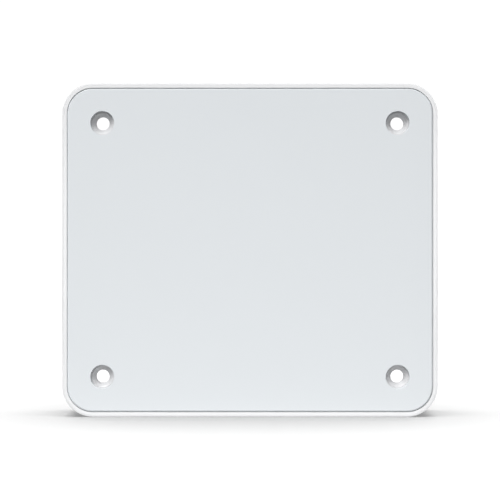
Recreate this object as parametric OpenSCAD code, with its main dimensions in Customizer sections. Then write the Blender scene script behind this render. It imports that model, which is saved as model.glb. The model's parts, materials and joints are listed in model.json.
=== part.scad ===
// Ceiling access point: a moulded housing with an inset front panel, screwed to the ceiling
// through its four corners, with its board, antennas and cable bay inside.
//
// Sub-parts are drawn lying down, x to the right, y up and z from the ceiling plane to the front
// panel, and upright() then stands them up: the panel faces -Y and the ceiling plane is y = 0.

/* [Body] */
// Width of the housing across its side walls
body_w = 188; // [184:1:196]
// Height of the housing across its top and bottom walls
body_h = 167; // [164:1:176]
// Depth of the housing from the ceiling to the rim of the front
body_d = 38; // [38:0.5:44]
// Outer corner radius of the housing
body_r = 15.3; // [14:0.1:18]
// Thickness of the housing's walls, and width of the rim around the panel
wall = 2.4; // [2:0.1:2.8]
// Radius of the rim's front edge
rim_edge = 1.3; // [0.8:0.1:1.6]

/* [Front panel] */
// Gap between the rim and the panel
panel_gap = 0.6; // [0.4:0.1:0.9]
// Thickness of the panel
panel_t = 2.4; // [2:0.1:2.8]
// How far the panel lies behind the rim
panel_drop = 0.1; // [0.1:0.1:0.3]

/* [Corner fixings] */
// Distance between hole centres across the width
pitch_x = 147.8; // [146:0.1:150]
// Distance between hole centres across the height
pitch_y = 127; // [125:0.1:129]
// Diameter of the panel's hole over each bush
panel_hole_d = 12; // [11.5:0.1:13]
// Diameter of the screw's clearance hole
throat_d = 6.6; // [6:0.1:7]

/* [Cable bay] */
// Width of the bay's mouth in the rear cover
bay_w = 60; // [56:1:60]
// Height of the bay's mouth
bay_h = 44; // [42:1:44]

/* [Reset button] */
// Travel of the button and of the switch's plunger
press_travel = 0.45; // [0.3:0.05:0.6]

/* [Hidden] */
$fn = 96;
cut = 1; // how far a cutting tool runs past a surface
bite = 0.4; // how far a joined shape runs into its neighbour

// Colours
shell_white = [0.96, 0.96, 0.97];
panel_grey = [0.87, 0.885, 0.9];
bush_grey = [0.72, 0.73, 0.75];
cover_grey = [0.78, 0.79, 0.8];
part_black = [0.12, 0.12, 0.13];
board_green = [0.06, 0.3, 0.2];
tin = [0.8, 0.8, 0.79];
steel = [0.68, 0.69, 0.71];
brass = [0.83, 0.66, 0.3];
gold = [0.9, 0.75, 0.35];
pad_blue = [0.45, 0.6, 0.72];
rubber_grey = [0.25, 0.26, 0.27];

// Depths, measured from the ceiling plane
rear_gap = 0.6; // the housing's rear edge stands this far off the ceiling
cover_t = 2.5;
tape_t = 0.5;
panel_top = body_d - panel_drop;
panel_z = panel_top - panel_t;
ledge_top = panel_z - tape_t;
ledge_t = 2;
ledge_w = 3;
board_z = 20;
board_t = 1.6;
board_top = board_z + board_t;
rear_edge = 1;

// Inside of the housing
inner_w = body_w - 2 * wall;
inner_h = body_h - 2 * wall;
inner_r = body_r - wall;
cover_play = 0.2;

// Corner fixings
throat_r = throat_d / 2;
throat_len = 2;
bush_top = ledge_top + 0.4;
bush_r = 6;
flange_r = 7.5;
flange_z = ledge_top - 1.1;
sink_r = bush_top - ledge_top + throat_r + 1.5; // 45 degree cone from the throat to the flange's face
bush_z = bush_top - (sink_r - throat_r) - throat_len;
press_play = 0.02; // radial play between a pressed-in piece and its seat
column_r = 10.5;
relief_r = 8.5;
corners = [for (sx = [-1, 1], sy = [-1, 1]) [sx, sy]];

// Rear cover screws, in bosses on the side walls
boss_r = 3.6;
boss_top = 18;
boss_inset = 4.2;
side_bosses = [for (c = corners) [c.x * (inner_w / 2 - boss_inset), c.y * 28]];
end_bosses = [for (c = corners) [c.x * 45, c.y * (inner_h / 2 - boss_inset)]];
cover_bosses = concat(side_bosses, end_bosses);
screw_r = 1.45; // shank of every M3 screw
screw_hole_r = 1.5;
screw_head_r = 2.8;
screw_head_h = 1.7;

// Main board and what holds it
board_w = 140;
board_h = 100;
board_fix = [for (c = corners) [c.x * 64, c.y * 44]];
post_r = 4;

// Cable bay: a tub behind the door, with the network port in its upper wall
bay_top = -28;
bay_mid = bay_top - bay_h / 2;
bay_floor = 17.8;
bay_floor_t = 1.6;
bay_wall = 2;
door_ledge = 2.5;
tub_w = bay_w - 2 * door_ledge;
tub_h = bay_h - door_ledge;
tub_mid = bay_top - tub_h / 2;
tub_r = 2;

// Door and its hinge
door_gap = 0.3;
door_z = 0.2;
door_t = 1.8;
hinge_y = bay_top - 3.3;
door_top = hinge_y + 2;
door_foot = bay_top - bay_h + door_gap;
door_w = bay_w - 2 * door_gap;
door_h = door_top - door_foot;
door_mid = (door_top + door_foot) / 2;
hinge_z = 2.6;
pin_r = 1;
pin_play = 0.05; // radial play of the door's knuckles on the pin
knuckle_r = 2.1;
knuckle_w = 6;
door_knuckle_x = 16;
lug_w = 3;
lug_gap = 0.3;
lug_x = door_knuckle_x + knuckle_w / 2 + lug_w / 2 + lug_gap;
pin_len = 2 * (lug_x + lug_w / 2);
grommet_at = [12, bay_top - 33];
grommet_r = 4.5;
lead_r = 3.1;
clamp_at = [-8, bay_top - 24];
clamp_span = 18;
earth_at = [-21, bay_top - 34];
bay_posts = [clamp_at - [clamp_span / 2, 0], clamp_at + [clamp_span / 2, 0], earth_at];
bay_post_r = 3.4;
bay_post_h = 3;

// Network port
port_w = 16.2;
port_h = 13.4;
port_len = 21;
port_z = board_z - port_h;

// Reset button and switch
button_at = [-18, 15.5]; // across and in depth
button_r = 1.3;
button_play = 0.05;
switch_face = bay_top + 6.5;
plunger_out = press_travel + 0.75; // how far the plunger stands out of the switch at rest
plunger_in = 1.7;

// Heat sink
sink_w = 108;
sink_h = 44;
sink_mid = 24;
chip_t = 1.6;
pad_t = 1;
sink_base_t = 2.4;
sink_top = board_z - chip_t - pad_t;
fin_h = 9.5;
fin_t = 1.4;
fin_pitch = 6.6;
fin_count = 8; // fins on each side of the middle one
sink_fix = [for (c = corners) [c.x * 47, sink_mid + c.y * 18]];

// Chips on the ceiling side of the board: [centre x, centre y, width, height]
processor_spot = [0, 24, 19, 19];
radio_spots = [for (sx = [-1, 1]) [sx * 36, 24, 14, 14]];
memory_spots = [[-15.5, 34, 8, 11], [15.5, 34, 8, 11]];
network_spot = [18, 3, 9, 9];
flash_spot = [-15.5, 15, 6, 8];
power_spots = [[44, -8, 7, 7], [56, -30, 6, 5], [-58, -34, 6, 5]];

// Shield cans on the room side of the board
can_spots = [[-36, 24, 34, 28], [0, 24, 28, 28], [36, 24, 34, 28]];
can_h = 2.8;
can_t = 0.3;

// Antennas on their carrier: feed points and the plugs that they run to
carrier_z = board_top + 4;
carrier_t = 1.6;
carrier_top = carrier_z + carrier_t;
low_spots = [[-74, 0], [74, 0]];
high_spots = [for (c = corners) [c.x * 50, c.y * 58]];
patch_spots = [[0, 61], [0, -61]];
low_plugs = [[-44, -4], [44, -4]];
high_plugs = [for (c = corners) [c.x * 30, c.y > 0 ? 3 : -12]];
patch_plugs = [[-10, 3], [10, -12]];
plugs = concat(low_plugs, high_plugs, patch_plugs);
coax_r = 0.6;
coax_z = carrier_top + 1;
plug_r = 1.6;
plug_h = 1.4;

// ---------------------------------------------------------------- shared shapes

// Stands a lying sub-part upright, with its z running along -Y
module upright() rotate([90, 0, 0]) children();

// Rectangle with round corners, centred
module rounded_rect(w, h, r) {
    square([w - 2 * r, h], center = true);
    square([w, h - 2 * r], center = true);
    for (c = corners) translate([c.x * (w / 2 - r), c.y * (h / 2 - r)]) circle(r);
}

// Plate of that outline
module rounded_plate(w, h, r, t) linear_extrude(t) rounded_rect(w, h, r);

// Frame of that outline: its band is as wide as given
module rounded_frame(w, h, r, band, t) difference() {
    rounded_plate(w, h, r, t);
    translate([0, 0, -cut]) rounded_plate(w - 2 * band, h - 2 * band, max(r - band, 0.5), t + 2 * cut);
}

// Half section of a slab, from its middle outwards, with round front and rear edges
module edge_section(reach, t, front, rear) {
    translate([0, rear]) square([reach, t - front - rear]);
    square([reach - rear, t]);
    square([reach - front, t]);
    translate([reach - front, t - front]) circle(front);
    translate([reach - rear, rear]) circle(rear);
}

// The same section cut to its own quadrant, for slabs whose edge radii differ
module clean_section(reach, t, front, rear) intersection() {
    edge_section(reach, t, front, rear);
    square([reach, t]);
}

// Slab with round corners in plan and round edges in section
module soft_slab(w, h, r, t, front, rear) {
    core_w = w - 2 * r;
    core_h = h - 2 * r;
    linear_extrude(t) square([core_w, core_h], center = true);
    for (a = [0, 180]) rotate([0, 0, a]) {
        translate([core_w / 2, core_h / 2, 0]) rotate([90, 0, 0])
            linear_extrude(core_h) clean_section(r, t, front, rear);
        translate([-core_w / 2, core_h / 2, 0]) rotate([90, 0, 90])
            linear_extrude(core_w) clean_section(r, t, front, rear);
    }
    for (q = [[1, 1, 0], [-1, 1, 90], [-1, -1, 180], [1, -1, 270]])
        translate([q.x * core_w / 2, q.y * core_h / 2, 0]) rotate([0, 0, q.z])
            rotate_extrude(angle = 90) clean_section(r, t, front, rear);
}

// Places children at each corner fixing
module at_corners() for (c = corners) translate([c.x * pitch_x / 2, c.y * pitch_y / 2, 0]) children();

// Places children at each point of a list
module at_points(points) for (p = points) translate([p.x, p.y, 0]) children();

// Block at a chip's spot, from z up to the board's ceiling side
module chip(spot, t) translate([spot[0], spot[1], board_z - t / 2]) cube([spot[2], spot[3], t], center = true);

// Pan-head screw, head on the ceiling side, with a cross recess
module pan_screw(len) {
    recess = 0.9;
    difference() {
        union() {
            cylinder(r = screw_r, h = screw_head_h + len);
            cylinder(r1 = screw_head_r - 0.4, r2 = screw_head_r, h = 0.6);
            translate([0, 0, 0.6]) cylinder(r = screw_head_r, h = screw_head_h - 0.6);
        }
        for (a = [0, 90]) rotate([0, 0, a]) translate([0, 0, recess / 2 - cut / 2])
            cube([3.2, 0.7, recess + cut], center = true);
    }
}

// ---------------------------------------------------------------- shell

// Housing: rim, side walls, ledge for the panel, corner columns and cover bosses
module housing() color(shell_white) upright() difference() {
    union() {
        difference() {
            translate([0, 0, rear_gap])
                soft_slab(body_w, body_h, body_r, body_d - rear_gap, rim_edge, rear_edge);
            rounded_plate(inner_w, inner_h, inner_r, ledge_top - ledge_t);
            translate([0, 0, cut])
                rounded_plate(inner_w - 2 * ledge_w, inner_h - 2 * ledge_w, inner_r - ledge_w, body_d);
            translate([0, 0, ledge_top]) rounded_plate(inner_w, inner_h, inner_r, body_d);
        }
        corner_columns();
        cover_boss_posts();
    }
    at_corners() {
        translate([0, 0, -cut]) cylinder(r = relief_r, h = bush_z + cut);
        cylinder(r = bush_r + press_play, h = body_d);
        translate([0, 0, flange_z]) cylinder(r = flange_r + press_play, h = body_d);
    }
    at_points(cover_bosses) cylinder(r = screw_hole_r, h = boss_top - 2);
}

// Hollow columns that carry the fixing screws' load to the ceiling, with ribs to the walls
module corner_columns() {
    rib_t = 1.8;
    reach_x = inner_w / 2 - pitch_x / 2 + bite;
    reach_y = inner_h / 2 - pitch_y / 2 + bite;
    for (c = corners) translate([c.x * pitch_x / 2, c.y * pitch_y / 2, 0]) {
        cylinder(r = column_r, h = ledge_top);
        translate([c.x * reach_x / 2, 0, (ledge_top + 6) / 2])
            cube([reach_x, rib_t, ledge_top - 6], center = true);
        translate([0, c.y * reach_y / 2, (ledge_top + 6) / 2])
            cube([rib_t, reach_y, ledge_top - 6], center = true);
    }
}

// Posts for the rear cover's screws, each joined to its side wall
module cover_boss_posts() {
    web_t = 3;
    web_l = boss_inset + bite;
    for (p = cover_bosses) translate([p.x, p.y, cover_t]) cylinder(r = boss_r, h = boss_top - cover_t);
    for (p = side_bosses) translate([p.x + sign(p.x) * web_l / 2, p.y, (cover_t + boss_top) / 2])
        cube([web_l, web_t, boss_top - cover_t], center = true);
    for (p = end_bosses) translate([p.x, p.y + sign(p.y) * web_l / 2, (cover_t + boss_top) / 2])
        cube([web_t, web_l, boss_top - cover_t], center = true);
}

// Front panel, which lets the radio through, with a round hole over each corner fixing
module front_panel() color(panel_grey) upright() difference() {
    translate([0, 0, panel_z])
        soft_slab(inner_w - 2 * panel_gap, inner_h - 2 * panel_gap, inner_r - panel_gap, panel_t, 0.3, 0.3);
    at_corners() translate([0, 0, panel_z - cut]) cylinder(r = panel_hole_d / 2, h = panel_t + 2 * cut);
}

// Double-sided foam tape that holds the panel on the housing's ledge
module panel_tape() color(part_black) upright()
    translate([0, 0, ledge_top]) rounded_frame(inner_w - 1.2, inner_h - 1.2, inner_r - 0.6, 2.2, tape_t);

// Countersunk bushes, one pressed into each corner column
module screw_bushes() color(bush_grey) upright() at_corners() difference() {
    union() {
        translate([0, 0, bush_z]) cylinder(r = bush_r, h = bush_top - bush_z);
        translate([0, 0, flange_z]) cylinder(r = flange_r, h = bush_top - flange_z);
    }
    translate([0, 0, bush_z - cut]) cylinder(r = throat_r, h = body_d);
    translate([0, 0, bush_z + throat_len])
        cylinder(r1 = throat_r, r2 = sink_r + cut, h = sink_r - throat_r + cut);
}

// ---------------------------------------------------------------- rear cover

// Rear cover: plate, vents, board posts, and the tub of the cable bay
module rear_cover() color(cover_grey) upright() difference() {
    union() {
        soft_slab(inner_w - 2 * cover_play, inner_h - 2 * cover_play, inner_r - cover_play, cover_t, 0.4, 0.6);
        at_points(board_fix) cylinder(r = post_r, h = board_z);
        tub_outside();
        hinge_lugs();
    }
    at_corners() translate([0, 0, -cut]) cylinder(r = column_r + cover_play, h = cover_t + 2 * cut);
    at_points(board_fix) translate([0, 0, cover_t]) cylinder(r = screw_hole_r, h = board_z);
    at_points(cover_bosses) {
        translate([0, 0, -cut]) cylinder(r = screw_hole_r + 0.1, h = cover_t + 2 * cut);
        translate([0, 0, -cut]) cylinder(r = screw_head_r + 0.3, h = screw_head_h + 0.1 + cut);
    }
    vents();
    tub_inside();
    label_recess();
}

// Vent slots over the heat sink, between its fins
module vents() {
    slot_w = 2.6;
    slot_h = 34;
    for (i = [-fin_count:fin_count - 1]) translate([(i + 0.5) * fin_pitch, sink_mid, -cut]) {
        translate([-slot_w / 2, -slot_h / 2, 0]) cube([slot_w, slot_h, cover_t + 2 * cut]);
        for (s = [-1, 1]) translate([0, s * slot_h / 2, 0]) cylinder(r = slot_w / 2, h = cover_t + 2 * cut);
    }
}

// The tub's outside, with a collar behind the door's ledge that joins it to the cover
module tub_outside() {
    collar_t = 1.6;
    translate([0, tub_mid, 0])
        rounded_plate(tub_w + 2 * bay_wall, tub_h + 2 * bay_wall, 3, bay_floor + bay_floor_t);
    translate([0, bay_mid, 0])
        rounded_plate(bay_w + 2 * bay_wall, bay_h + 2 * bay_wall, 4, cover_t + collar_t);
}

// The tub's hollow, the wider seat for the door, and the openings in the upper wall
module tub_inside() {
    difference() {
        union() {
            translate([0, tub_mid, -cut]) rounded_plate(tub_w, tub_h, tub_r, bay_floor + cut);
            translate([0, bay_mid, -cut]) rounded_plate(bay_w, bay_h, 2, cover_t + cut);
        }
        hinge_lugs();
        at_points(bay_posts) translate([0, 0, bay_floor - bay_post_h]) cylinder(r = bay_post_r, h = bay_post_h);
    }
    at_points(bay_posts) cylinder(r = screw_hole_r, h = bay_floor + 0.4);
    translate([-port_w / 2 - 0.2, bay_top - 0.1, port_z - 0.2])
        cube([port_w + 0.4, bay_wall + cut, port_h + cut]);
    translate([button_at.x, bay_top - cut, button_at.y]) rotate([-90, 0, 0])
        cylinder(r = button_r + button_play, h = bay_wall + 2 * cut);
    rotate([0, 90, 0]) translate([-hinge_z, hinge_y, -pin_len / 2 - cut])
        cylinder(r = pin_r + press_play, h = pin_len + 2 * cut);
}

// Lugs on the bay's upper wall that hold the hinge pin
module hinge_lugs() for (s = [-1, 1]) translate([s * lug_x - lug_w / 2, 0, 0]) {
    translate([0, hinge_y, hinge_z]) rotate([0, 90, 0]) cylinder(r = knuckle_r, h = lug_w);
    translate([0, hinge_y, hinge_z]) cube([lug_w, bay_top - hinge_y + bite, knuckle_r]);
}

module label_recess() translate([-56, -14, -cut]) rounded_plate(36, 24, 1.5, cut + 0.3);

// Blank plate for the rating data, bare of any print
module rating_label() color(tin) upright() translate([-56, -14, 0.12]) rounded_plate(35.4, 23.4, 1.2, 0.18);

// Screws that hold the rear cover on the housing
module rear_cover_screws() color(steel) upright()
    at_points(cover_bosses) translate([0, 0, 0.1]) pan_screw(10);

// ---------------------------------------------------------------- door

// Hinged door over the cable bay, with a hole for the lead and a catch at its free edge
module cable_door() color(cover_grey) upright() difference() {
    union() {
        door_plate();
        door_knuckles();
        door_catch();
    }
    translate([grommet_at.x, grommet_at.y, -cut]) cylinder(r = grommet_r, h = 3 * cut + door_t);
    rotate([0, 90, 0]) translate([-hinge_z, hinge_y, -pin_len / 2])
        cylinder(r = pin_r + pin_play, h = pin_len);
    for (s = [-1, 1]) translate([s * lug_x - lug_w / 2 - lug_gap, hinge_y - knuckle_r - lug_gap, -cut])
        cube([lug_w + 2 * lug_gap, 3 * knuckle_r, door_t + 3 * cut]);
    door_shoulders();
    door_grip();
}

module door_plate() translate([0, door_mid, door_z]) rounded_plate(door_w, door_h, 1.7, door_t);

module door_knuckles() for (s = [-1, 1]) translate([s * door_knuckle_x - knuckle_w / 2, 0, 0]) {
    translate([0, hinge_y, hinge_z]) rotate([0, 90, 0]) cylinder(r = knuckle_r, h = knuckle_w);
    translate([0, hinge_y - knuckle_r, door_z + door_t - bite]) cube([knuckle_w, 2 * knuckle_r, 1.1]);
}

// Cut-back corners at the hinge, so that the open door clears the bay's ledges and round corners
module door_shoulders() {
    shoulder_x = tub_w / 2 - tub_r;
    for (x = [shoulder_x, -shoulder_x - door_w])
        translate([x, hinge_y - 2 * door_t, 0]) cube([door_w, 4 * door_t, 2 * door_t]);
}

// Springy tongue at the free edge, whose bump clicks past the tub's lower wall
module door_catch() {
    tongue_w = 14;
    tongue_y = tub_mid - tub_h / 2 + 0.5;
    translate([-tongue_w / 2, tongue_y, door_z + door_t - bite]) cube([tongue_w, 1.2, 5]);
    translate([0, tongue_y + 0.05, 5.2]) rotate([0, 90, 0]) cylinder(r = 0.35, h = tongue_w - 4, center = true);
}

// Ribbed finger grip, cut into the door's outer face near its free edge
module door_grip() for (i = [0:2]) translate([-11, door_foot + 4 + 2.2 * i, door_z]) rotate([0, 90, 0])
    cylinder(r = 0.6, h = 20, center = true);

// Foam seal on the door's inner face, on the three edges that meet the ledge
module door_seal() color(part_black) upright() {
    band = 1.6;
    seal_t = 0.4;
    seal_w = bay_w - 2;
    foot = bay_top - bay_h + 1;
    side_h = 34;
    translate([0, 0, door_z + door_t]) {
        translate([-seal_w / 2, foot, 0]) cube([seal_w, band, seal_t]);
        for (s = [-1, 1]) translate([s * (seal_w - band) / 2 - band / 2, foot, 0]) cube([band, side_h, seal_t]);
    }
}

// Steel pin of the door's hinge
module door_pin() color(steel) upright() rotate([0, 90, 0]) translate([-hinge_z, hinge_y, 0])
    cylinder(r = pin_r, h = pin_len, center = true);

// Rubber grommet in the door, with a flange on each face
module cable_grommet() color(rubber_grey) upright() translate([grommet_at.x, grommet_at.y, 0])
    difference() {
        union() {
            cylinder(r = grommet_r + 1.6, h = door_z);
            cylinder(r = grommet_r, h = door_z + door_t + 1.2);
            translate([0, 0, door_z + door_t]) cylinder(r = grommet_r + 1.4, h = 1.2);
        }
        translate([0, 0, -cut]) cylinder(r = lead_r, h = 8);
    }

// ---------------------------------------------------------------- fittings in the bay

// Saddle that holds the lead against the bay's floor
module cable_clamp() color(shell_white) upright() translate([clamp_at.x, clamp_at.y, bay_floor - bay_post_h])
    difference() {
        union() {
            translate([-clamp_span / 2 - 3.5, -3.5, -2]) cube([clamp_span + 7, 7, 2]);
            translate([0, 0, -0.6]) rotate([90, 0, 0]) cylinder(r = 5, h = 7, center = true);
        }
        translate([0, 0, -0.6]) rotate([90, 0, 0]) cylinder(r = lead_r, h = 9, center = true);
        translate([-lead_r, -5, -0.6]) cube([2 * lead_r, 10, 8]);
        translate([-10, -5, 0]) cube([20, 10, 8]);
        for (s = [-1, 1]) translate([s * clamp_span / 2, 0, -3]) cylinder(r = screw_hole_r + 0.1, h = 5);
    }

module cable_clamp_screws() color(steel) upright()
    for (s = [-1, 1])
        translate([clamp_at.x + s * clamp_span / 2, clamp_at.y, bay_floor - bay_post_h - 2 - screw_head_h])
            pan_screw(5);

// Earth terminal: screw and washer on a boss in the bay's floor
module earth_screw() color(brass) upright() translate([earth_at.x, earth_at.y, bay_floor - bay_post_h]) {
    translate([0, 0, -0.8]) cylinder(r = bay_post_r, h = 0.8);
    translate([0, 0, -0.8 - screw_head_h]) pan_screw(3.6);
}

// ---------------------------------------------------------------- board and its parts

// Main board
module main_board() color(board_green) upright() translate([0, 0, board_z]) difference() {
    rounded_plate(board_w, board_h, 3, board_t);
    at_points(concat(board_fix, sink_fix)) translate([0, 0, -cut]) cylinder(r = screw_hole_r + 0.1, h = 2 * cut + board_t);
}

// Screws that hold the antenna carrier and the board on the rear cover's posts
module board_screws() color(steel) upright() at_points(board_fix)
    translate([0, 0, carrier_top + screw_head_h]) mirror([0, 0, 1]) pan_screw(16);

module processor() color(part_black) upright() chip(processor_spot, chip_t);

module radio_chips() color(part_black) upright() for (s = radio_spots) chip(s, chip_t);

module memory_chips() color(part_black) upright() for (s = memory_spots) chip(s, 1.1);

module flash_chip() color(part_black) upright() chip(flash_spot, 1);

module network_chip() color(part_black) upright() chip(network_spot, 1);

module power_chips() color(part_black) upright() for (s = power_spots) chip(s, 1);

// Crystal cans beside the chips that they clock
module crystals() color(tin) upright() for (s = [[27, 14, 3.2, 2.5], [-27, 14, 3.2, 2.5], [10, 6, 3.2, 2.5]]) chip(s, 0.8);

// Chip capacitors round the processor and the power parts
module chip_capacitors() color([0.7, 0.6, 0.45]) upright() {
    for (i = [-3:3]) {
        chip([i * 2.6, 37, 1.6, 0.8], 0.8);
        chip([i * 2.6, 11, 1.6, 0.8], 0.8);
        chip([i * 2.6 - 48, -2, 1.6, 0.8], 0.8);
        chip([i * 2.6 + 46, -2, 1.6, 0.8], 0.8);
    }
}

// Moulded power inductors
module inductors() color([0.3, 0.3, 0.31]) upright()
    for (p = [[-38, -10], [-50, -10], [60, -16]]) translate([p.x, p.y, board_z - 4]) rounded_plate(7, 7, 1.2, 4);

// Can capacitors of the power supply
module capacitors() color([0.2, 0.22, 0.3]) upright()
    for (p = [[-38, -24], [-50, -24], [-38, -38]]) translate([p.x, p.y, board_z]) mirror([0, 0, 1]) {
        rounded_plate(8.3, 8.3, 0.8, 1);
        cylinder(r = 3.6, h = 2);
        translate([0, 0, 1.6]) cylinder(r = 4, h = 8.8);
        translate([0, 0, 10.4]) cylinder(r1 = 4, r2 = 3.7, h = 0.3);
    }

transformer_at = [44, -28];

// Ferrite core of the power transformer
module transformer_core() color([0.22, 0.22, 0.23]) upright() translate([transformer_at.x, transformer_at.y, board_z - 11])
    difference() {
        translate([-9, -5, 0]) cube([18, 10, 10]);
        translate([-6.6, -6, 2.2]) cube([13.2, 12, 5.6]);
    }

// Its taped winding on a pinned bobbin
module transformer_coil() color([0.85, 0.75, 0.25]) upright() translate([transformer_at.x, transformer_at.y, board_z - 11])
    union() {
        translate([-6.4, -7.6, 2.4]) cube([12.8, 15.2, 5.2]);
        for (s = [-1, 1]) translate([-8, s * 7.2 - 1.2, 7.4]) cube([16, 2.4, 3.6]);
    }

// Magnetics of the network port
module network_transformer() color(part_black) upright() translate([20, -13, board_z - 6]) rounded_plate(13, 17, 0.6, 6);

// ---------------------------------------------------------------- network port

// Tinned shell of the network socket, open towards the bay
module port_shell() color(tin) upright() translate([-port_w / 2, bay_top + 0.1, port_z]) difference() {
    cube([port_w, port_len, port_h]);
    translate([0.4, -cut, 0.4]) cube([port_w - 0.8, port_len + cut - 0.4, port_h]);
}

// Moulded insert with the keyed mouth for the plug and its latch
module port_insert() color(part_black) upright() translate([0, bay_top + 0.2, port_z + 0.45]) {
    body_w = port_w - 0.9;
    difference() {
        translate([-body_w / 2, 0, 0]) cube([body_w, port_len - 0.7, port_h - 0.5]);
        translate([-5.95, -cut, 3.1]) cube([11.9, 13 + cut, 8.3]);
        translate([-3.1, -cut, 1.6]) cube([6.2, 13 + cut, 2]);
        for (i = [0:7]) translate([(i - 3.5) * 1.02 - 0.3, 1.5, 11]) cube([0.6, 13.5, 1.1]);
    }
}

// Eight sprung contacts in the insert
module port_contacts() color(gold) upright() translate([0, bay_top + 0.2, port_z + 0.45])
    for (i = [0:7]) translate([(i - 3.5) * 1.02, 0, 0]) {
        translate([-0.225, 2, 11.55]) cube([0.45, 12.9, 0.45]);
        translate([-0.225, 2.4, 11.6]) rotate([-28, 0, 0]) translate([0, 0, -0.4]) cube([0.45, 8, 0.4]);
    }

// ---------------------------------------------------------------- reset button

// Side-pushed switch behind the bay's upper wall
module reset_switch() color(part_black) upright() translate([button_at.x, switch_face, 0]) difference() {
    translate([-3, 0, button_at.y - 2.5]) cube([6, 3.6, board_z - button_at.y + 2.5]);
    translate([0, -cut, button_at.y]) rotate([-90, 0, 0])
        cylinder(r = 1.25, h = plunger_in + press_travel + 0.25 + cut);
}

// Plunger of that switch
module reset_plunger() color([0.9, 0.9, 0.88]) upright() translate([button_at.x, 0, button_at.y])
    translate([0, switch_face - plunger_out, 0]) rotate([-90, 0, 0])
        cylinder(r = 1.2, h = plunger_out + plunger_in);

// Button that a pin or a fingertip pushes from the bay
module reset_button() color([0.85, 0.3, 0.2]) upright() translate([button_at.x, 0, button_at.y]) {
    front = bay_top - 0.9;
    back = switch_face - plunger_out - 0.02;
    translate([0, front, 0]) rotate([-90, 0, 0]) cylinder(r = button_r, h = back - front);
    translate([0, bay_top + bay_wall + 0.05, 0]) rotate([-90, 0, 0]) cylinder(r = 2.2, h = 1);
}

// ---------------------------------------------------------------- cooling

// Finned heat sink, pressed against the chips by its four screws
module heat_sink() color([0.75, 0.76, 0.78]) upright() {
    difference() {
        union() {
            translate([-sink_w / 2, sink_mid - sink_h / 2, sink_top - sink_base_t]) cube([sink_w, sink_h, sink_base_t]);
            at_points(sink_fix) translate([0, 0, sink_top - bite]) cylinder(r = 3, h = board_z - sink_top + bite);
            for (i = [-fin_count:fin_count])
                translate([i * fin_pitch - fin_t / 2, sink_mid - sink_h / 2 + 2, sink_top - sink_base_t - fin_h])
                    cube([fin_t, sink_h - 4, fin_h + bite]);
        }
        at_points(sink_fix) translate([0, 0, sink_top - sink_base_t + 0.8]) cylinder(r = screw_hole_r, h = board_z);
    }
}

module thermal_pads() color(pad_blue) upright() for (s = concat([processor_spot], radio_spots))
    translate([s[0], s[1], sink_top + pad_t / 2]) cube([s[2] - 1, s[3] - 1, pad_t], center = true);

module heat_sink_screws() color(steel) upright() at_points(sink_fix)
    translate([0, 0, board_top + screw_head_h]) mirror([0, 0, 1]) pan_screw(5);

// ---------------------------------------------------------------- shields

// Fences soldered to the board round the radio circuits
module shield_frames() color(tin) upright() for (s = can_spots) translate([s[0], s[1], board_top])
    rounded_frame(s[2] - 1, s[3] - 1, 0.8, can_t, can_h - 0.4);

// Lids pressed over them
module shield_lids() color(steel) upright() for (s = can_spots) translate([s[0], s[1], board_top + 0.5]) difference() {
    rounded_plate(s[2], s[3], 1.2, can_h - 0.5);
    translate([0, 0, -cut]) rounded_plate(s[2] - 0.8, s[3] - 0.8, 0.9, can_h - 0.5 - can_t + cut);
}

// ---------------------------------------------------------------- antennas

// Moulded carrier that holds the antennas between the board and the panel
module antenna_carrier() color([0.9, 0.9, 0.88]) upright() difference() {
    union() {
        translate([0, 0, carrier_z]) {
            rounded_plate(166, 92, 5, carrier_t);
            rounded_plate(120, 146, 5, carrier_t);
        }
        at_points(board_fix) translate([0, 0, board_top]) cylinder(r = post_r, h = carrier_z - board_top + bite);
        at_points(concat(high_spots, patch_spots)) translate([0, 0, carrier_top - bite]) {
            for (s = [-1, 1]) translate([s * 7, 0, 0]) cylinder(r = 1.5, h = 2 + bite);
        }
    }
    translate([0, 10, carrier_z - cut]) rounded_plate(104, 60, 5, carrier_t + 2 * cut);
    translate([0, -44, carrier_z - cut]) rounded_plate(60, 22, 4, carrier_t + 2 * cut);
    at_points(board_fix) cylinder(r = screw_hole_r + 0.1, h = body_d);
}

// Stamped antennas for the low band, folded up from strip
module low_band_antennas() color(brass) upright() for (p = low_spots) translate([p.x, p.y, carrier_top]) {
    strip = 0.5;
    span = 42;
    side = sign(p.x);
    translate([-4, -span / 2, 0]) cube([8, span, strip]);
    translate([side * 3.75 - strip / 2, -span / 2, 0]) cube([strip, 9, 4.6]);
    translate([side * 3.75 - strip / 2, span / 2 - 20, 3]) cube([strip, 20, 1.6]);
    translate([side * 3.75 - strip / 2, span / 2 - 4, 0]) cube([strip, 4, 4.6]);
}

// Small antenna boards for the high band, each on two pegs
module high_band_antennas() color(board_green) upright() for (p = high_spots)
    translate([p.x, p.y, carrier_top + 2]) rounded_plate(20, 14, 1, 0.8);

// Square patch antennas
module patch_antennas() color(gold) upright() for (p = patch_spots)
    translate([p.x, p.y, carrier_top + 2]) rounded_plate(18, 16, 1, 1);

// Coaxial lead from an antenna to its plug: along the carrier, then down to the board
module coax_lead(from, to) {
    run = norm(to - from);
    heading = atan2(to.y - from.y, to.x - from.x);
    translate([from.x, from.y, coax_z]) rotate([0, 0, heading]) rotate([0, 90, 0]) cylinder(r = coax_r, h = run);
    translate([to.x, to.y, coax_z]) sphere(r = coax_r + 0.03);
    translate([to.x, to.y, board_top + plug_h]) cylinder(r = coax_r, h = coax_z - board_top - plug_h);
}

module coax_leads() color(part_black) upright() {
    for (i = [0:1]) coax_lead(low_spots[i] - [sign(low_spots[i].x) * 4.5, 0], low_plugs[i]);
    for (i = [0:3]) coax_lead(high_spots[i] - [0, sign(high_spots[i].y) * 7.5], high_plugs[i]);
    for (i = [0:1]) coax_lead(patch_spots[i] - [0, sign(patch_spots[i].y) * 8.5], patch_plugs[i]);
}

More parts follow.
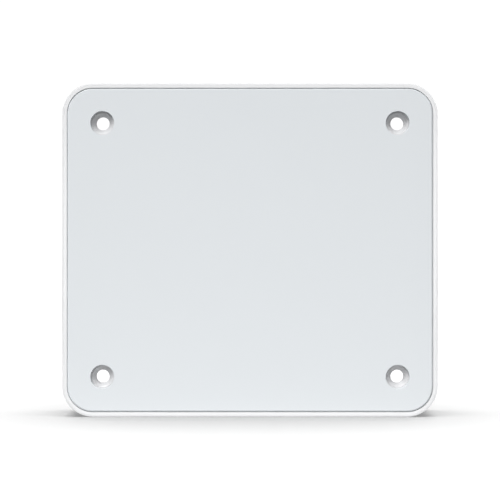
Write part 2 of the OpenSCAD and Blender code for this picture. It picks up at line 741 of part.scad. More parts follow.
// Press-on plugs of the coaxial leads
module coax_plugs() color(gold) upright() at_points(plugs) translate([0, 0, board_top]) difference() {
    cylinder(r = plug_r, h = plug_h);
    translate([0, 0, plug_h - 0.4]) cylinder(r = plug_r - 0.5, h = cut);
    translate([0, 0, plug_h - 0.5]) cylinder(r = coax_r, h = cut);
}

// ---------------------------------------------------------------- the part

housing();
front_panel();
panel_tape();
screw_bushes();
rear_cover();
rear_cover_screws();
rating_label();
cable_door();
door_seal();
door_pin();
cable_grommet();
cable_clamp();
cable_clamp_screws();
earth_screw();
main_board();
board_screws();
processor();
radio_chips();
memory_chips();
flash_chip();
network_chip();
power_chips();
crystals();
chip_capacitors();
inductors();
capacitors();
transformer_core();
transformer_coil();
network_transformer();
port_shell();
port_insert();
port_contacts();
reset_switch();
reset_plunger();
reset_button();
heat_sink();
thermal_pads();
heat_sink_screws();
shield_frames();
shield_lids();
antenna_carrier();
low_band_antennas();
high_band_antennas();
patch_antennas();
coax_leads();
coax_plugs();
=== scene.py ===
"""Looks of the ceiling access point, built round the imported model.

The three pieces that the front shows are built here and stand for their CAD nodes. Every other CAD node
keeps its shape and gets soft edges and a material. Shapes are worked out lying down, in millimetres: x to
the right, y up and z from the ceiling plane to the front panel. row() turns such a point into the model's
own frame, in metres.
"""
import json
import math

import bmesh
import bpy
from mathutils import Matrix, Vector


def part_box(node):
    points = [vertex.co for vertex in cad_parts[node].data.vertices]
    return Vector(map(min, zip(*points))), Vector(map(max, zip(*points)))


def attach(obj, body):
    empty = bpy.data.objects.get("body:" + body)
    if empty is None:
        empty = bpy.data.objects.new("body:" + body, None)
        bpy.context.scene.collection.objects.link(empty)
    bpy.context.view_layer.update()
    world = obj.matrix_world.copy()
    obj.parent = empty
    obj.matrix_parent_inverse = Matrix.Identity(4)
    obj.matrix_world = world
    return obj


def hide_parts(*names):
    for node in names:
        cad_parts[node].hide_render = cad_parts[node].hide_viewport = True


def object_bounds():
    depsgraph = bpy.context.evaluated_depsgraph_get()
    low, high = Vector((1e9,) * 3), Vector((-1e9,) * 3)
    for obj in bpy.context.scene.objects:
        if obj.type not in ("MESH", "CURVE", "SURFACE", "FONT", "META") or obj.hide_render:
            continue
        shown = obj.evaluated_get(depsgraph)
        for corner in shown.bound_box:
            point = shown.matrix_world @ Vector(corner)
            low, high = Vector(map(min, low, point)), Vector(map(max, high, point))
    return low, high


MM = 0.001

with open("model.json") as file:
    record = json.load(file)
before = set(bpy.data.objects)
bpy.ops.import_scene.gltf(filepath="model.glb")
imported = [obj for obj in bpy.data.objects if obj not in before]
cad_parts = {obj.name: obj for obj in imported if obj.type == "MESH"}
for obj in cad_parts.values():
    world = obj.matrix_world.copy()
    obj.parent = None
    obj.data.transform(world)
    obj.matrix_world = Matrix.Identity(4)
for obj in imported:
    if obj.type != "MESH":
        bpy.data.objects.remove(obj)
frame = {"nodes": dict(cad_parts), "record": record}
cad_low, cad_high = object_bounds()


# ------------------------------------------------------------------ sizes, in millimetres
# These are the CAD source's own sizes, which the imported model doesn't give

# Housing
HOUSE_R = 15.3
WALL = 2.4
RIM_EDGE = 1.3
REAR_EDGE = 1.0
LEDGE_W = 3.0
LEDGE_T = 2.0

# Columns round the bushes, and their ribs
COLUMN_R = 10.5
RELIEF_R = 8.5
RIB_T = 1.8
RIB_REAR = 6

# Bosses that take the rear cover's screws
COVER_T = 2.5
BOSS_R = 3.6
BOSS_TOP = 18.0
BOSS_INSET = 4.2
BOSS_CAP = 2
PILOT_R = 1.5
WEB_T = 3.0
SIDE_BOSS_Y = 28
END_BOSS_X = 45

# Front panel
PANEL_GAP = 0.6
PANEL_EDGE = 0.3
PANEL_HOLE_R = 6.0

# Bushes
BUSH_R = 6.0
FLANGE_R = 7.5
FLANGE_T = 1.5
CONE_R = 5.2
THROAT_LEN = 2.0
PRESS_PLAY = 0.02

# How far a joined shape runs into its neighbour
BITE = 0.4


# ------------------------------------------------------------------ light levels and colours

# The dome that lights the object: its levels before and behind the object, and where it turns from one
# to the other, as the Y of a direction
FRONT_DOME = 0.3
BACK_DOME = 1.3
DOME_TURN = (-0.9, -0.1)

# Lamps: the two suns' strengths and the two cards' watts
KEY = 2.45
WASH = 4.2
CARD = 0.95
RIM_CARD = 4.9

# What the camera sees behind the object, and the floor's own colour
WHITE = (1, 1, 1, 1)
BACKDROP = 1.05
FLOOR_GREY = (0.44, 0.44, 0.44, 1)

# The floor's own light as the camera sees it, and the light that it throws back at the object
FLOOR_LIFT = 0.12
NEAR_GLOW = 0.42
FAR_GLOW = 0.1
FOOT_GLOW = 0.25

# Over which distances from the origin, in metres, the lift grows, the glow falls and the floor turns white,
# and how far before and behind the object the foot glow reaches
LIFT_REACH = (0.11, 0.26)
GLOW_REACH = (0.12, 0.42)
MELT_REACH = (0.35, 0.9)
FOOT_REACH = 0.012


# ------------------------------------------------------------------ places from the frame

def flat_box(node):
    """A node's box lying down, in millimetres: (x0, y0, z0), (x1, y1, z1)."""
    low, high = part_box(node)
    return (low.x / MM, low.z / MM, -high.y / MM), (high.x / MM, high.z / MM, -low.y / MM)


def row(x, y, z):
    """A lying-down point in the model's frame, in metres."""
    return Vector((x * MM, -z * MM, y * MM))


def mount(name):
    """One of the record's mounts, by its name."""
    return next(m for m in frame["record"]["mounts"] if m["name"] == name)


# The object is centred on its origin, so a box's far corner gives half its width and half its height
(_, _, house_rear), (house_x, house_y, house_front) = flat_box("housing")
(_, _, panel_rear), (panel_x, panel_y, panel_front) = flat_box("front_panel")
(_, _, bush_rear), (_, _, bush_front) = flat_box("screw_bushes")
(_, _, ledge_front), _ = flat_box("panel_tape")
flange_rear = bush_front - FLANGE_T
fixing = mount("ceiling_screws")["dims"]
hole_x = fixing["spacing_x_mm"] / 2
hole_y = fixing["spacing_y_mm"] / 2
throat_r = fixing["hole_r_mm"]
corners = [(sx, sy) for sx in (-1, 1) for sy in (-1, 1)]


# ------------------------------------------------------------------ mesh helpers

def arc_points(cx, cz, r, start, end, count):
    """Points on an arc, from start to end degrees."""
    return [(cx + r * math.cos(math.radians(start + (end - start) * i / count)),
             cz + r * math.sin(math.radians(start + (end - start) * i / count)))
            for i in range(count + 1)]


def outline(half_w, half_h, r):
    """Points of a rectangle with round corners, anticlockwise, the same number for every size."""
    arc_steps, side_steps = 14, 8
    arcs = [arc_points(sx * (half_w - r), sy * (half_h - r), r, turn, turn + 90, arc_steps)
            for sx, sy, turn in ((1, 1, 0), (-1, 1, 90), (-1, -1, 180), (1, -1, 270))]
    points = []
    for arc, following in zip(arcs, arcs[1:] + arcs[:1]):
        (x0, y0), (x1, y1) = arc[-1], following[0]
        points += arc
        points += [(x0 + (x1 - x0) * k / side_steps, y0 + (y1 - y0) * k / side_steps)
                   for k in range(1, side_steps)]
    return points


def circle(cx, cy, r, count):
    """Points of a circle, anticlockwise."""
    return [(cx + r * math.cos(2 * math.pi * i / count), cy + r * math.sin(2 * math.pi * i / count))
            for i in range(count)]


def add_loop(bm, points, z):
    """Adds a vertex at each (x, y) point, all at height z."""
    return [bm.verts.new(row(x, y, z)) for x, y in points]


def bridge(bm, a, b):
    """Joins two loops of as many vertices with a band of faces."""
    n = len(a)
    for i in range(n):
        bm.faces.new((a[i], a[(i + 1) % n], b[(i + 1) % n], b[i]))


def skin(bm, loops, closed):
    """Joins each loop to the next, and the last to the first if the section is closed."""
    for a, b in zip(loops, loops[1:]):
        bridge(bm, a, b)
    if closed:
        bridge(bm, loops[-1], loops[0])
    return loops


def sweep_outline(bm, half_w, half_h, r, section, closed=True):
    """Runs a section of (inset, z) points round a rounded rectangle."""
    least_r = 0.2
    loops = [add_loop(bm, outline(half_w - inset, half_h - inset, max(r - inset, least_r)), z)
             for inset, z in section]
    return skin(bm, loops, closed)


def lathe(bm, cx, cy, section, closed=True, count=64):
    """Turns a section of (radius, z) points about an axis that runs from ceiling to front."""
    return skin(bm, [add_loop(bm, circle(cx, cy, r, count), z) for r, z in section], closed)


def add_box(bm, xs, ys, zs):
    """Adds a box between two values on each axis."""
    (x0, x1), (y0, y1) = xs, ys
    v = [bm.verts.new(row(x, y, z)) for z in zs for x, y in ((x0, y0), (x1, y0), (x1, y1), (x0, y1))]
    for f in ((0, 1, 2, 3), (4, 5, 6, 7), (0, 1, 5, 4), (1, 2, 6, 5), (2, 3, 7, 6), (3, 0, 4, 7)):
        bm.faces.new([v[i] for i in f])


def add_rib(bm, place, way, run, half_t, zs):
    """Adds a rib along x or along y; run says how far from the place it starts and how far it ends."""
    (x, y), (dx, dy), (near, far) = place, way, run
    xs = sorted((x + dx * near - half_t * abs(dy), x + dx * far + half_t * abs(dy)))
    ys = sorted((y + dy * near - half_t * abs(dx), y + dy * far + half_t * abs(dx)))
    add_box(bm, xs, ys, zs)


def finish_mesh(bm, name, node, slot, sharp_deg):
    """Makes a fixed piece that stands for a CAD node; edges over sharp_deg degrees stay sharp."""
    bmesh.ops.recalc_face_normals(bm, faces=bm.faces)
    mesh = bpy.data.meshes.new(name)
    bm.to_mesh(mesh)
    bm.free()
    mesh.polygons.foreach_set("use_smooth", [True] * len(mesh.polygons))
    mesh.set_sharp_from_angle(angle=math.radians(sharp_deg))
    mesh.materials.append(materials[slot])
    piece = bpy.data.objects.new(name, mesh)
    bpy.context.scene.collection.objects.link(piece)
    level = piece.modifiers.new("flat_faces_rule", "WEIGHTED_NORMAL")
    level.keep_sharp = True
    level.weight = 100
    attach(piece, "base")
    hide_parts(node)
    return piece


# ------------------------------------------------------------------ nodes

def per_metre(size_mm):
    """How many grains of a size fit in a metre."""
    return 1 / MM / size_mm


def shade(colour, factor):
    """A colour made darker or lighter, with alpha."""
    return (*(min(1.0, c * factor) for c in colour), 1)


class Nodes:
    """A node tree, with short calls for the nodes that the materials and the world share."""

    def __init__(self, tree):
        self.tree = tree

    def put(self, value, target):
        """Links an output to an input, or sets the input to a fixed value."""
        if isinstance(value, bpy.types.NodeSocket):
            self.tree.links.new(value, target)
        else:
            target.default_value = value

    def node(self, kind, **values):
        """Adds a node; each value is for one of its own settings or for one of its inputs."""
        made = self.tree.nodes.new(kind)
        for key, value in values.items():
            if hasattr(made, key) and key not in made.inputs:
                setattr(made, key, value)
            else:
                self.put(value, made.inputs[key])
        return made

    def maths(self, operation, a, b=None):
        """One step of arithmetic on one value or on two."""
        made = self.node("ShaderNodeMath", operation=operation)
        self.put(a, made.inputs[0])
        if b is not None:
            self.put(b, made.inputs[1])
        return made.outputs[0]

    def length(self, vector):
        """The length of a vector."""
        made = self.node("ShaderNodeVectorMath", operation="LENGTH")
        self.put(vector, made.inputs[0])
        return made.outputs["Value"]

    def axes(self, vector):
        """A vector's X, Y and Z."""
        return self.node("ShaderNodeSeparateXYZ", Vector=vector).outputs

    def change(self, value, ends, levels, **settings):
        """Goes from the first level to the second as a value goes from the first end to the second."""
        limits = {"From Min": ends[0], "From Max": ends[1], "To Min": levels[0], "To Max": levels[1]}
        return self.node("ShaderNodeMapRange", Value=value, **limits, **settings).outputs["Result"]

    def fade(self, value, ends, levels):
        """A change that starts and ends softly."""
        return self.change(value, ends, levels, interpolation_type="SMOOTHSTEP")

    def mix_colour(self, factor, a, b):
        """Mixes two colours, each a fixed one or an output."""
        mix = self.node("ShaderNodeMix", data_type="RGBA")
        self.put(factor, mix.inputs[0])
        self.put(a, mix.inputs[6])
        self.put(b, mix.inputs[7])
        return mix.outputs[2]

    def mix_shader(self, factor, a, b):
        """Mixes two shaders."""
        mix = self.node("ShaderNodeMixShader")
        for value, target in zip((factor, a, b), mix.inputs):
            self.put(value, target)
        return mix.outputs[0]

    def camera_or(self, seen, other):
        """One shader for what the camera sees and another for light and reflections."""
        return self.mix_shader(self.node("ShaderNodeLightPath").outputs["Is Camera Ray"], other, seen)


class Surface(Nodes):
    """A new material's nodes, with its shader and the place of the point that is shaded."""

    def __init__(self, name):
        self.material = bpy.data.materials.new(name)
        self.material.use_nodes = True
        super().__init__(self.material.node_tree)
        self.shader = self.tree.nodes["Principled BSDF"]
        self.where = self.node("ShaderNodeNewGeometry").outputs["Position"]

    def feed(self, name, value):
        """Gives one of the shader's inputs an output or a fixed value."""
        self.put(value, self.shader.inputs[name])

    def coords(self, scale):
        """The shaded point's place, scaled on each axis."""
        return self.node("ShaderNodeMapping", Vector=self.where, Scale=scale).outputs["Vector"]

    def noise(self, size_mm, detail=2.0, stretch=(1, 1, 1), roughness=0.5):
        """Noise whose grains are about size_mm across, stretched by the given factors."""
        where = self.coords([per_metre(size_mm) / k for k in stretch])
        made = self.node("ShaderNodeTexNoise", Vector=where, Scale=1.0, Detail=detail, Roughness=roughness)
        return made.outputs["Fac"]

    def cells(self, size_mm, **settings):
        """Cells about size_mm across, as the outputs of a Voronoi pattern."""
        where = self.coords([per_metre(size_mm)] * 3)
        return self.node("ShaderNodeTexVoronoi", Vector=where, **settings).outputs

    def tinted(self, factor, colour, low, high):
        """A colour that changes from low to high times itself with a factor."""
        return self.mix_colour(factor, shade(colour, low), shade(colour, high))

    def ranged(self, noise, low, high):
        """A noise's usual range, spread from low to high."""
        return self.change(noise, (0.25, 0.75), (low, high))

    def bump(self, height, depth_mm, strength=1.0, under=None):
        """Gives the surface a relief, over an earlier one if there is one."""
        made = self.node("ShaderNodeBump", Height=height, Strength=strength, Distance=depth_mm * MM)
        if under is not None:
            self.put(under, made.inputs["Normal"])
        self.feed("Normal", made.outputs["Normal"])
        return made.outputs["Normal"]


# ------------------------------------------------------------------ materials

def plastic(name, colour, rough, grain_mm=0.35, depth_mm=0.004, vary=0.02, coat=0.0, sss=0.0):
    """Moulded plastic: fine spark-eroded grain, faint flow shading and uneven gloss."""
    flow_mm, gloss_mm, gloss_shift, glow_mm = 26, 9, 0.04, 2
    n = Surface(name)
    n.feed("Base Color", n.tinted(n.noise(flow_mm), colour, 1 - vary, 1 + vary))
    n.feed("Roughness", n.ranged(n.noise(gloss_mm, detail=3.0), rough - gloss_shift, rough + gloss_shift))
    coarse_mm, coarse_depth_mm = grain_mm * 6, depth_mm * 1.5
    fine = n.bump(n.noise(grain_mm, detail=3.0, roughness=0.6), depth_mm)
    n.bump(n.noise(coarse_mm), coarse_depth_mm, strength=0.5, under=fine)
    n.feed("Coat Weight", coat)
    n.feed("Subsurface Weight", sss)
    n.feed("Subsurface Radius", [glow_mm * MM] * 3)
    return n.material


def metal(name, colour, rough, stretch=(1, 1, 1), grain_mm=0.25, depth_mm=0.003):
    """Bare metal, with grain that runs along the stretched axis."""
    tone_mm = 6
    n = Surface(name)
    n.feed("Base Color", n.tinted(n.noise(tone_mm, detail=3.0), colour, low=0.94, high=1.06))
    n.feed("Metallic", 1.0)
    grain = n.noise(grain_mm, detail=3.0, stretch=stretch)
    n.feed("Roughness", n.ranged(grain, low=rough - 0.06, high=rough + 0.08))
    n.bump(grain, depth_mm)
    return n.material


def powder_coat(name, colour, rough):
    """Textured powder coat: small rounded bumps over a slower orange peel."""
    bump_mm, peel_mm, cloud_mm, gloss_mm = 0.8, 2.4, 18, 4
    share, gloss_shift = 0.5, 0.05
    n = Surface(name)
    bumps = n.cells(bump_mm, feature="SMOOTH_F1")["Distance"]
    cloud_and_dip_shade = n.maths("ADD", n.maths("MULTIPLY", bumps, share), n.maths("MULTIPLY", n.noise(cloud_mm), share))
    # Partly painted shade: half of the colour change follows the bumps, darker in their dips and lighter on
    # their crests; the other half is a slow random cloud of tone
    n.feed("Base Color", n.tinted(cloud_and_dip_shade, colour, low=0.94, high=1.06))
    n.feed("Roughness", n.ranged(n.noise(gloss_mm), rough - gloss_shift, rough + gloss_shift))
    fine = n.bump(bumps, depth_mm=0.05, strength=0.9)
    n.bump(n.noise(peel_mm), depth_mm=0.03, strength=0.7, under=fine)
    return n.material


def foam(name, colour, rough=0.9, cell_mm=0.5):
    """Foam or rubber with a pitted skin."""
    n = Surface(name)
    pits_and_pit_shade = n.cells(cell_mm)["Distance"]
    # Painted shade: the colour darkens in the pits and lightens on the rims between them, in the same
    # pattern that gives the relief
    n.feed("Base Color", n.tinted(pits_and_pit_shade, colour, low=0.6, high=1.5))
    n.feed("Roughness", rough)
    n.bump(pits_and_pit_shade, depth_mm=0.05, strength=0.8)
    return n.material


def solder_mask(name, mask, copper, tin):
    """Circuit board: mask over bundles of copper tracks that turn from patch to patch, and tinned vias."""
    patch_mm, track_mm, via_mm, gloss_mm = 13, 1.1, 3.4, 5
    bare_share, track_share, via_r = 0.3, 0.38, 0.1
    n = Surface(name)
    patches = n.cells(patch_mm, distance="CHEBYCHEV")["Color"]
    chance = n.node("ShaderNodeSeparateColor", Color=patches).outputs
    place = n.axes(n.coords([per_metre(track_mm)] * 3))
    across = n.maths("GREATER_THAN", chance[0], 0.5)
    along_x = n.maths("MULTIPLY", place["X"], across)
    along_z = n.maths("MULTIPLY", place["Z"], n.maths("SUBTRACT", across, 1.0))
    lane = n.maths("FRACT", n.maths("ADD", along_x, along_z))
    routed = n.maths("GREATER_THAN", chance[1], bare_share)
    tracks = n.maths("MULTIPLY", n.maths("LESS_THAN", lane, track_share), routed)
    vias = n.maths("LESS_THAN", n.cells(via_mm)["Distance"], via_r)
    n.feed("Base Color", n.mix_colour(vias, n.mix_colour(tracks, mask, copper), tin))
    n.feed("Roughness", n.ranged(n.noise(gloss_mm), low=0.26, high=0.34))
    n.feed("Coat Weight", 0.4)
    n.bump(n.maths("ADD", tracks, vias), depth_mm=0.03, strength=0.7)
    return n.material


def turned_metal(name, colour, rough):
    """Bushes turned on a lathe: fine rings about each fixing's own axis."""
    ring_mm, tone_mm = 0.12, 2
    n = Surface(name)
    place = n.axes(n.where)
    from_x, from_z = [n.maths("SUBTRACT", n.maths("ABSOLUTE", place[axis]), centre * MM)
                      for axis, centre in (("X", hole_x), ("Z", hole_y))]
    radius = n.length(n.node("ShaderNodeCombineXYZ", X=from_x, Y=from_z).outputs["Vector"])
    rings = n.maths("SINE", n.maths("MULTIPLY", radius, 2 * math.pi / (ring_mm * MM)))
    n.feed("Base Color", n.tinted(n.noise(tone_mm), colour, low=0.97, high=1.03))
    n.feed("Metallic", 0.15)
    n.feed("Roughness", rough)
    n.bump(rings, depth_mm=0.0015, strength=0.4)
    return n.material


# Each material slot's function and its values
FINISHES = {
    "housing_white": (plastic, dict(colour=(0.845, 0.85, 0.86), rough=0.34, grain_mm=0.3, depth_mm=0.0025,
                                    vary=0.006, coat=0.15)),
    "panel_grey": (plastic, dict(colour=(0.712, 0.742, 0.764), rough=0.42, grain_mm=0.3, depth_mm=0.003,
                                 vary=0.006)),
    "black_foam": (foam, dict(colour=(0.03, 0.03, 0.032))),
    "bush_metal": (turned_metal, dict(colour=(0.72, 0.72, 0.73), rough=0.4)),
    "cover_metal": (powder_coat, dict(colour=(0.62, 0.63, 0.65), rough=0.45)),
    "steel": (metal, dict(colour=(0.6, 0.61, 0.62), rough=0.3)),
    "blank_label": (metal, dict(colour=(0.72, 0.72, 0.72), rough=0.35, stretch=(20, 1, 1), grain_mm=0.2,
                                depth_mm=0.002)),
    "door_plastic": (plastic, dict(colour=(0.6, 0.61, 0.63), rough=0.45, grain_mm=0.5, depth_mm=0.006,
                                   vary=0.015)),
    "dark_rubber": (foam, dict(colour=(0.035, 0.035, 0.038), rough=0.7, cell_mm=0.3)),
    "clamp_nylon": (plastic, dict(colour=(0.8, 0.8, 0.76), rough=0.4, sss=0.05)),
    "brass": (metal, dict(colour=(0.75, 0.55, 0.25), rough=0.28, stretch=(1, 1, 8))),
    "board_green": (solder_mask, dict(mask=(0.008, 0.09, 0.045, 1), copper=(0.015, 0.16, 0.08, 1),
                                      tin=(0.55, 0.56, 0.5, 1))),
    "chip_black": (plastic, dict(colour=(0.025, 0.025, 0.028), rough=0.55, grain_mm=0.2, depth_mm=0.006,
                                 vary=0.1)),
    "tin": (metal, dict(colour=(0.7, 0.7, 0.68), rough=0.25, stretch=(6, 1, 1))),
    "chip_ceramic": (plastic, dict(colour=(0.4, 0.28, 0.16), rough=0.5, grain_mm=0.2, vary=0.08)),
    "ferrite": (plastic, dict(colour=(0.05, 0.05, 0.055), rough=0.6, grain_mm=0.3, depth_mm=0.01,
                              vary=0.1)),
    "can_sleeve": (metal, dict(colour=(0.6, 0.6, 0.62), rough=0.3, stretch=(1, 10, 1))),
    "coil_tape": (plastic, dict(colour=(0.75, 0.55, 0.06), rough=0.3, grain_mm=1.0, depth_mm=0.01,
                                vary=0.05, coat=0.5)),
    "port_black": (plastic, dict(colour=(0.02, 0.02, 0.02), rough=0.35, grain_mm=0.3, depth_mm=0.003,
                                 vary=0.1)),
    "gold": (metal, dict(colour=(0.85, 0.6, 0.25), rough=0.22)),
    "plunger_white": (plastic, dict(colour=(0.75, 0.75, 0.72), rough=0.4)),
    "button_red": (plastic, dict(colour=(0.5, 0.05, 0.03), rough=0.35)),
    "sink_aluminium": (metal, dict(colour=(0.72, 0.73, 0.74), rough=0.35, stretch=(1, 1, 20), grain_mm=0.3,
                                   depth_mm=0.005)),
    "thermal_pad": (foam, dict(colour=(0.2, 0.35, 0.5), rough=0.7, cell_mm=0.4)),
    "carrier_plastic": (plastic, dict(colour=(0.75, 0.75, 0.73), rough=0.5, grain_mm=0.5, depth_mm=0.006)),
    "coax_jacket": (plastic, dict(colour=(0.03, 0.03, 0.03), rough=0.35, grain_mm=0.2, depth_mm=0.002,
                                  vary=0.1)),
}
materials = {slot: make(slot, **values) for slot, (make, values) in FINISHES.items()}


# ------------------------------------------------------------------ shell pieces

def build_housing():
    """Rim, side walls and panel ledge in one skin, with the corner columns and the rear cover's bosses."""
    bm = bmesh.new()
    inner_edge, side_end = 0.15, 6
    section = (
        arc_points(REAR_EDGE, house_rear + REAR_EDGE, REAR_EDGE, 270, 180, 6)
        + [(0, house_rear + side_end), (0, house_front - side_end)]
        + arc_points(RIM_EDGE, house_front - RIM_EDGE, RIM_EDGE, 180, 90, 10)
        + arc_points(WALL - inner_edge, house_front - inner_edge, inner_edge, 90, 0, 3)
        + [(WALL, ledge_front), (WALL + LEDGE_W, ledge_front)]
        + [(WALL + LEDGE_W, ledge_front - LEDGE_T), (WALL, ledge_front - LEDGE_T)]
        + arc_points(WALL - inner_edge, house_rear + inner_edge, inner_edge, 0, -90, 3)
    )
    sweep_outline(bm, house_x, house_y, HOUSE_R, section)
    for sx, sy in corners:
        build_column(bm, sx, sy)
    build_bosses(bm)
    return finish_mesh(bm, "housing_shell", "housing", "housing_white", sharp_deg=30)


def build_column(bm, sx, sy):
    """Column round a bush, from the ceiling to the panel's ledge, with a rib to each wall."""
    foot_edge, rib_drop = 0.25, 0.03
    seat_r, flange_seat_r = BUSH_R + PRESS_PLAY, FLANGE_R + PRESS_PLAY
    section = [
        (RELIEF_R + foot_edge, 0), (COLUMN_R - foot_edge, 0), (COLUMN_R, foot_edge),
        (COLUMN_R, ledge_front), (flange_seat_r, ledge_front), (flange_seat_r, flange_rear),
        (seat_r, flange_rear), (seat_r, bush_rear), (RELIEF_R, bush_rear), (RELIEF_R, foot_edge),
    ]
    place = (sx * hole_x, sy * hole_y)
    lathe(bm, *place, section)
    near = COLUMN_R - BITE
    for way, wall, hole in (((sx, 0), house_x - WALL, hole_x), ((0, sy), house_y - WALL, hole_y)):
        # A rib's front is just under the ledge, so the two never share a plane
        add_rib(bm, place, way, (near, wall + BITE - hole), RIB_T / 2, (RIB_REAR, ledge_front - rib_drop))


def build_bosses(bm):
    """Posts that take the rear cover's screws, each with a blind pilot hole and a web to its wall."""
    chamfer, mouth, cover_gap, tip_r = 0.15, 0.2, 0.02, 0.02
    foot = COVER_T + cover_gap
    pilot_end = BOSS_TOP - BOSS_CAP
    wall_x, wall_y = house_x - WALL, house_y - WALL
    # The cap over the pilot hole ends tip_r short of the axis, which is too fine a hole to see
    section = [
        (PILOT_R + mouth, foot), (BOSS_R - chamfer, foot), (BOSS_R, foot + chamfer), (BOSS_R, BOSS_TOP),
        (tip_r, BOSS_TOP), (tip_r, pilot_end), (PILOT_R, pilot_end), (PILOT_R, foot + mouth),
    ]
    posts = [((sx * (wall_x - BOSS_INSET), sy * SIDE_BOSS_Y), (sx, 0)) for sx, sy in corners]
    posts += [((sx * END_BOSS_X, sy * (wall_y - BOSS_INSET)), (0, sy)) for sx, sy in corners]
    for place, way in posts:
        lathe(bm, *place, section, count=48)
        add_rib(bm, place, way, (BOSS_R - BITE, BOSS_INSET + BITE), WEB_T / 2, (foot, BOSS_TOP))


def build_panel():
    """Front panel with round edges, a step behind them that narrows the gap, and a hole over each fixing."""
    bm = bmesh.new()
    gap_depth, step, slope = 0.45, 0.4, 0.1
    section = (
        arc_points(PANEL_EDGE, panel_front - PANEL_EDGE, PANEL_EDGE, 90, 180, 5)
        + [(0, panel_front - gap_depth), (-step, panel_front - gap_depth - slope)]
        + [(-step, panel_rear + slope), (slope - step, panel_rear)]
    )
    loops = sweep_outline(bm, panel_x, panel_y, HOUSE_R - WALL - PANEL_GAP, section, closed=False)
    lip = 0.1
    hole = [
        (PANEL_HOLE_R + lip * 0.6, panel_front), (PANEL_HOLE_R + lip * 0.25, panel_front - lip * 0.1),
        (PANEL_HOLE_R - lip * 0.2, panel_front - lip * 0.4), (PANEL_HOLE_R - lip, panel_rear),
    ]
    holes = [lathe(bm, sx * hole_x, sy * hole_y, hole, closed=False) for sx, sy in corners]
    for face in (0, -1):
        rings = [loops[face]] + [wall[face] for wall in holes]
        edges = [bm.edges.get(pair) for ring in rings for pair in zip(ring, ring[1:] + ring[:1])]
        bmesh.ops.triangle_fill(bm, use_beauty=True, edges=edges)
    return finish_mesh(bm, "front_panel_skin", "front_panel", "panel_grey", sharp_deg=25)


def build_bushes():
    """Countersunk bushes, with turned edges."""
    bm = bmesh.new()
    chamfer, edge, lip = 0.2, 0.1, 0.12
    cone_rear = bush_rear + THROAT_LEN
    section = [
        (throat_r + lip, bush_rear), (BUSH_R - chamfer, bush_rear), (BUSH_R, bush_rear + chamfer),
        (BUSH_R, flange_rear), (FLANGE_R - edge, flange_rear), (FLANGE_R, flange_rear + edge),
        (FLANGE_R, bush_front - chamfer), (FLANGE_R - chamfer, bush_front),
        (CONE_R + edge, bush_front), (CONE_R, bush_front - lip / 3), (CONE_R - edge, bush_front - lip),
        (throat_r + lip, cone_rear + lip), (throat_r + lip / 4, cone_rear + lip / 6),
        (throat_r, cone_rear - edge), (throat_r, bush_rear + lip),
    ]
    for sx, sy in corners:
        lathe(bm, sx * hole_x, sy * hole_y, section)
    return finish_mesh(bm, "turned_bushes", "screw_bushes", "bush_metal", sharp_deg=30)


# ------------------------------------------------------------------ CAD nodes that stay

# Width in millimetres of the round on each of these nodes' sharp edges
SOFT_EDGES = {
    "rear_cover": 0.2, "cable_door": 0.15, "cable_clamp": 0.3, "main_board": 0.15, "heat_sink": 0.12,
    "processor": 0.12, "radio_chips": 0.12, "memory_chips": 0.1, "flash_chip": 0.1, "network_chip": 0.1,
    "power_chips": 0.08, "crystals": 0.25, "inductors": 0.5, "capacitors": 0.15, "transformer_core": 0.25,
    "transformer_coil": 0.35, "network_transformer": 0.25, "port_shell": 0.1, "port_insert": 0.08,
    "reset_switch": 0.15, "reset_button": 0.12, "reset_plunger": 0.15, "shield_lids": 0.25,
    "antenna_carrier": 0.2, "patch_antennas": 0.15, "high_band_antennas": 0.1, "cable_grommet": 0.25,
    "door_pin": 0.15, "rear_cover_screws": 0.1, "cable_clamp_screws": 0.1, "board_screws": 0.1,
    "heat_sink_screws": 0.1, "earth_screw": 0.1, "rating_label": 0.05, "coax_plugs": 0.1,
}


def soften(piece, width_mm):
    """Gives a CAD node's sharp edges a small round: flat faces are joined first, so the edges are clean."""
    flat = piece.modifiers.new("flat", "DECIMATE")
    flat.decimate_type = "DISSOLVE"
    flat.angle_limit = math.radians(0.5)
    bevel = piece.modifiers.new("round", "BEVEL")
    bevel.width = width_mm * MM
    bevel.segments = 2
    bevel.limit_method = "ANGLE"
    bevel.angle_limit = math.radians(40)
    bevel.harden_normals = True


def dress_cad_nodes():
    """Gives each CAD node its slot's material, smooth shading between sharp edges, and soft edges."""
    slots = {part["node"]: part["material_slot"] for part in frame["record"]["subparts"]}
    for node, piece in frame["nodes"].items():
        mesh = piece.data
        mesh.materials.clear()
        mesh.materials.append(materials[slots[node]])
        mesh.polygons.foreach_set("use_smooth", [True] * len(mesh.polygons))
        mesh.set_sharp_from_angle(angle=math.radians(30))
        if node in SOFT_EDGES:
            soften(piece, SOFT_EDGES[node])


# ------------------------------------------------------------------ stage

def light_world():
    """White backdrop to the camera; for light and reflections, a dome that is bright behind the object."""
    world = bpy.data.worlds.new("studio")
    bpy.context.scene.world = world
    world.use_nodes = True
    n = Nodes(world.node_tree)
    n.tree.nodes.clear()
    depth = n.axes(n.node("ShaderNodeTexCoord").outputs["Generated"])["Y"]
    level = n.fade(depth, DOME_TURN, (FRONT_DOME, BACK_DOME))
    lit = n.node("ShaderNodeBackground", Color=WHITE, Strength=level).outputs[0]
    seen = n.node("ShaderNodeBackground", Color=WHITE, Strength=BACKDROP).outputs[0]
    n.node("ShaderNodeOutputWorld", Surface=n.camera_or(seen, lit))


def place_lamp(name, data, position, aim, others, only):
    """Adds a lamp that lights only the given objects, or all but them."""
    lamp = bpy.data.objects.new(name, data)
    bpy.context.scene.collection.objects.link(lamp)
    lamp.location = position
    lamp.rotation_mode = "QUATERNION"
    lamp.rotation_quaternion = (Vector(aim) - Vector(position)).to_track_quat("-Z", "Y")
    lamp.visible_camera = False
    reach = bpy.data.collections.new(name + "_reach")
    for i, other in enumerate(others):
        reach.objects.link(other)
        reach.collection_objects[i].light_linking.link_state = "INCLUDE" if only else "EXCLUDE"
    lamp.light_linking.receiver_collection = reach


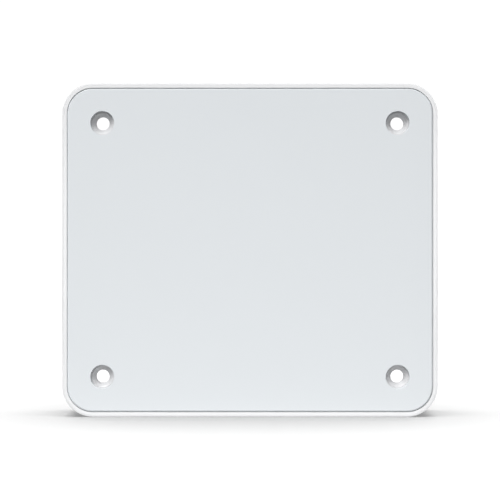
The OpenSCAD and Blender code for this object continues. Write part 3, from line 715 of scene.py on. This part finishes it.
def sun_lamp(name, shines_from, strength, spread_deg, others, only):
    """A lamp whose light comes from one side, from a point towards the origin."""
    data = bpy.data.lights.new(name, "SUN")
    data.energy = strength
    data.angle = math.radians(spread_deg)
    place_lamp(name, data, shines_from, (0, 0, 0), others, only)


def card_lamp(name, position, aim, size, power, others, only):
    """A glowing rectangle, size metres wide and high."""
    data = bpy.data.lights.new(name, "AREA")
    data.shape = "RECTANGLE"
    data.size, data.size_y = size
    data.energy = power
    place_lamp(name, data, position, aim, others, only)


def build_floor(level):
    """Pale matte floor that melts into the backdrop; near the object it also lights it from below."""
    n = Surface("floor_white")
    away = n.length(n.where)
    n.feed("Base Color", FLOOR_GREY)
    n.feed("Specular IOR Level", 0.0)
    n.feed("Emission Color", WHITE)
    n.feed("Emission Strength", n.fade(away, LIFT_REACH, (0, FLOOR_LIFT)))
    half_depth = (cad_high.y - cad_low.y) / 2
    middle = (cad_low.y + cad_high.y) / 2
    beside = n.maths("ABSOLUTE", n.maths("SUBTRACT", n.axes(n.where)["Y"], middle))
    foot = n.fade(beside, (half_depth, half_depth + FOOT_REACH), (FOOT_GLOW, 0))
    around = n.fade(away, GLOW_REACH, (NEAR_GLOW, FAR_GLOW))
    glow = n.node("ShaderNodeEmission", Strength=n.maths("ADD", around, foot)).outputs[0]
    white = n.node("ShaderNodeEmission", Strength=BACKDROP).outputs[0]
    seen = n.mix_shader(n.fade(away, MELT_REACH, (0, 1)), n.shader.outputs[0], white)
    n.put(n.camera_or(seen, glow), n.tree.nodes["Material Output"].inputs["Surface"])
    half = 8.0
    mesh = bpy.data.meshes.new("floor")
    ends = [(sx * half, sy * half, level) for sx, sy in ((-1, -1), (1, -1), (1, 1), (-1, 1))]
    mesh.from_pydata(ends, [], [(0, 1, 2, 3)])
    mesh.materials.append(n.material)
    floor = bpy.data.objects.new("floor", mesh)
    bpy.context.scene.collection.objects.link(floor)
    return floor


def build_camera(low, high):
    """Level camera on the object's axis, square to the front panel."""
    distance, width_seen = 0.8, 0.25
    data = bpy.data.cameras.new("camera")
    data.sensor_width = 36
    data.lens = data.sensor_width * distance / width_seen
    data.clip_start, data.clip_end = 0.05, 50
    camera = bpy.data.objects.new("camera", data)
    bpy.context.scene.collection.objects.link(camera)
    camera.location = ((low.x + high.x) / 2, low.y - distance, (low.z + high.z) / 2)
    camera.rotation_euler = (math.radians(90), 0, 0)
    bpy.context.scene.camera = camera


# ------------------------------------------------------------------ the scene

dress_cad_nodes()
shell = build_housing()
build_panel()
bushes = build_bushes()

light_world()
floor = build_floor(cad_low.z)
sun_lamp("key", shines_from=(-0.22, -0.5, 0.6), strength=KEY, spread_deg=35,
         others=[floor, shell], only=False)
sun_lamp("floor_wash", shines_from=(0, 0.03, 1), strength=WASH, spread_deg=60,
         others=[floor], only=True)
card_lamp("card", position=(-0.08, -0.6, -0.03), aim=(0, 0, -0.03), size=(1.0, 0.3), power=CARD,
          others=[floor, bushes, shell], only=False)
card_lamp("rim_card", position=(0, -0.6, 0.02), aim=(0, 0, 0.02), size=(2.4, 0.14), power=RIM_CARD,
          others=[shell], only=True)
build_camera(cad_low, cad_high)
bpy.context.scene.view_settings.view_transform = "Standard"
